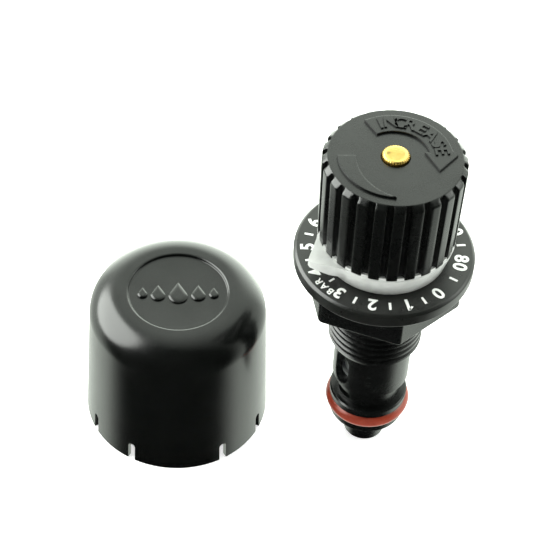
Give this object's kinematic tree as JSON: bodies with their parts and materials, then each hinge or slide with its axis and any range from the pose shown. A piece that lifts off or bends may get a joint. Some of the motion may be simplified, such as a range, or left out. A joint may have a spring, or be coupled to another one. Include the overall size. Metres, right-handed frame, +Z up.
{
  "type": "pressure regulating dial module",
  "caption": "Screw-in dial regulator for an irrigation valve, with fluted knob, pointer, threaded body, sealed nose and a press-on cap beside it.",
  "frame": {"origin": "on the module's axis at the foot of its nose, which stands on the surface", "axes": "+Z up the module's axis towards the knob, -X towards the axis of the cap that stands beside it, -Y towards the front"},
  "size_m": [0.0983, 0.0486, 0.1024],
  "materials": {
    "body_plastic": "moulded black glass-filled nylon, satin",
    "dial_plastic": "black moulded plastic, fine satin",
    "knob_plastic": "black moulded plastic, satin",
    "cap_plastic": "black moulded plastic, semi-gloss",
    "white_plastic": "white moulded acetal, satin",
    "bush_plastic": "natural acetal, satin",
    "orange_rubber": "orange-red silicone, smooth",
    "black_rubber": "black nitrile, smooth",
    "brass": "turned brass",
    "steel": "stainless steel"
  },
  "bodies": {
    "body": {"housing": "body_plastic", "nose_fitting": "body_plastic", "nose_o_ring": "orange_rubber", "seat_insert": "brass", "inlet_screen": "steel", "piston_stop": "steel", "dial_plate": "dial_plastic", "dial_screws": "steel", "stem_bush": "bush_plastic"},
    "knob": {"knob": "knob_plastic", "pointer_ring": "white_plastic", "adjusting_stem": "brass", "stem_o_ring": "black_rubber", "thrust_washer": "bush_plastic", "stem_clip": "steel"},
    "nut": {"spring_nut": "bush_plastic", "nut_insert": "brass", "range_spring": "steel"},
    "piston": {"piston": "bush_plastic", "piston_o_ring": "black_rubber", "poppet": "brass", "poppet_seal": "black_rubber"},
    "cap": {"cap": "cap_plastic"}
  },
  "joints": [
    {"name": "knob_turn", "type": "hinge", "parent": "body", "child": "knob", "pos_m": [0, 0, 0.0884], "axis": [0, 0, -1], "range_deg": [-101.3, 59.9]},
    {"name": "nut_travel", "type": "slide", "parent": "body", "child": "nut", "axis": [0, 0, -1], "range_m": [-0.0034, 0.00201], "deforming": ["range_spring"]},
    {"name": "piston_travel", "type": "slide", "parent": "body", "child": "piston", "axis": [0, 0, 1], "range_m": [0, 0.0012], "stiffness_N_per_m": 4000, "springref_m": -0.0005},
    {"name": "cap_lift", "type": "slide", "parent": "body", "child": "cap", "axis": [0, 0, 1], "range_m": [0, 0.11]}
  ],
  "couplings": [
    {"joint": "nut_travel", "follows": "knob_turn", "m_per_rad": 0.0019099}
  ]
}
